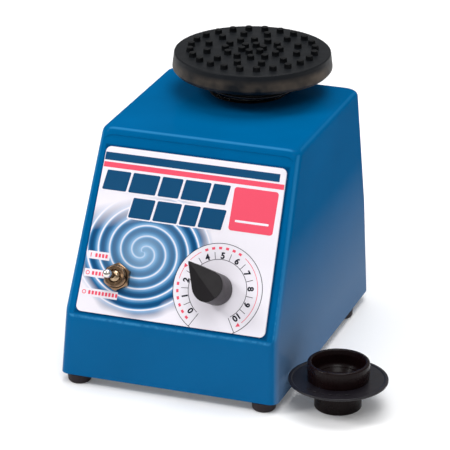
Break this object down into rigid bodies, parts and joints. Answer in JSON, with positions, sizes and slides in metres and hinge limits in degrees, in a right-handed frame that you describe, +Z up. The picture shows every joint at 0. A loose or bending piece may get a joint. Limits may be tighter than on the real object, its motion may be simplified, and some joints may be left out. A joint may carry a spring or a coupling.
{
  "type": "vortex mixer",
  "caption": "Bench vortex mixer with a sloping control panel, a studded rubber platform on an orbiting head, and a spare cup head beside it.",
  "frame": {"origin": "middle of the mixer's footprint, on the bench surface that the feet stand on", "axes": "+Z up, -Y is the front with the control panel, +X is the operator's right"},
  "size_m": [0.1749, 0.1817, 0.1551],
  "materials": {
    "housing_paint": "satin powder coat",
    "plated_steel": "zinc plated",
    "screw_steel": "plated",
    "shaft_steel": "ground",
    "laminate": "stacked laminations",
    "cast_aluminium": "as cast",
    "toggle_nickel": "bright, warm nickel over brass",
    "lever_chrome": "polished",
    "pin_brass": "bright",
    "bronze": "oil-filled",
    "coil_copper": "varnished wire",
    "label_print": "printed film",
    "knob_plastic": "fine grain",
    "black_plastic": "moulded",
    "board_laminate": "solder mask",
    "foot_rubber": "moulded",
    "pad_rubber": "moulded, satin",
    "head_rubber": "moulded, slightly shiny"
  },
  "bodies": {
    "chassis": {"housing": "housing_paint", "base_plate": "plated_steel", "foot_front_left": "foot_rubber", "foot_front_right": "foot_rubber", "foot_rear_left": "foot_rubber", "foot_rear_right": "foot_rubber", "base_screw_front_left": "screw_steel", "base_screw_front_right": "screw_steel", "base_screw_rear_left": "screw_steel", "base_screw_rear_right": "screw_steel", "label_plate": "label_print", "toggle_body": "black_plastic", "toggle_bushing": "toggle_nickel", "toggle_nut": "toggle_nickel", "speed_control_body": "laminate", "speed_control_nut": "toggle_nickel", "inlet_body": "black_plastic", "inlet_pin_line": "pin_brass", "inlet_pin_earth": "pin_brass", "inlet_pin_neutral": "pin_brass", "circuit_board": "board_laminate", "capacitor": "black_plastic", "heat_sink": "cast_aluminium", "stator_core": "laminate", "stator_coil_upper": "coil_copper", "stator_coil_lower": "coil_copper", "upper_bracket": "cast_aluminium", "lower_bracket": "cast_aluminium", "upper_bearing": "shaft_steel", "lower_bearing": "bronze", "motor_bolt_1": "screw_steel", "motor_bolt_2": "screw_steel", "isolator_front_left": "foot_rubber", "isolator_front_right": "foot_rubber", "isolator_rear_left": "foot_rubber", "isolator_rear_right": "foot_rubber", "mount_screw_front_left": "screw_steel", "mount_screw_front_right": "screw_steel", "mount_screw_rear_left": "screw_steel", "mount_screw_rear_right": "screw_steel", "top_grommet": "head_rubber", "thrust_guide": "black_plastic", "return_spring": "screw_steel", "touch_switch_body": "black_plastic"},
    "plunger": {"thrust_cup": "bronze"},
    "rotor": {"rotor_core": "laminate", "rotor_shaft": "shaft_steel", "cooling_fan": "black_plastic", "crank": "cast_aluminium", "crank_bearing_inner": "shaft_steel"},
    "head": {"head_socket": "cast_aluminium", "crank_bearing_outer": "shaft_steel"},
    "platform": {"platform_pad": "pad_rubber", "platform_hub": "head_rubber"},
    "toggle": {"toggle_lever": "lever_chrome"},
    "knob": {"speed_knob": "knob_plastic", "speed_control_shaft": "shaft_steel"},
    "switch_lever": {"touch_switch_lever": "screw_steel"},
    "spare_head": {"spare_cup": "head_rubber"}
  },
  "joints": [
    {"name": "touch_press", "type": "slide", "parent": "chassis", "child": "plunger", "axis": [0, 0, -1], "range_m": [0, 0.0025], "stiffness_N_per_m": 4500, "springref_m": -0.0035, "deforming": ["return_spring"]},
    {"name": "shaft_spin", "type": "hinge", "parent": "plunger", "child": "rotor", "pos_m": [0, 0.0475, 0.026], "axis": [0, 0, 1], "continuous": true},
    {"name": "head_orbit", "type": "hinge", "parent": "rotor", "child": "head", "pos_m": [0.002, 0.0475, 0.107], "axis": [0, 0, 1], "continuous": true},
    {"name": "platform_lift", "type": "slide", "parent": "head", "child": "platform", "axis": [0, 0, 1], "range_m": [0, 0.03]},
    {"name": "toggle_switch", "type": "hinge", "parent": "chassis", "child": "toggle", "pos_m": [-0.032, -0.07299, 0.06172], "axis": [1, 0, 0], "range_deg": [-12, 12]},
    {"name": "knob_turn", "type": "hinge", "parent": "chassis", "child": "knob", "pos_m": [0.0234, -0.06815, 0.06016], "axis": [0, -0.8822, 0.4709], "range_deg": [-180, 90]},
    {"name": "switch_lever_tilt", "type": "hinge", "parent": "chassis", "child": "switch_lever", "pos_m": [0.0323, 0.0475, 0.02325], "axis": [0, 1, 0], "range_deg": [-7, 0]},
    {"name": "spare_lift", "type": "slide", "parent": "chassis", "child": "spare_head", "axis": [0, 0, 1], "range_m": [0, 0.04]}
  ],
  "couplings": [
    {"joint": "head_orbit", "follows": "shaft_spin", "ratio": -1},
    {"joint": "switch_lever_tilt", "follows": "touch_press", "rad_per_m": -42.9}
  ]
}
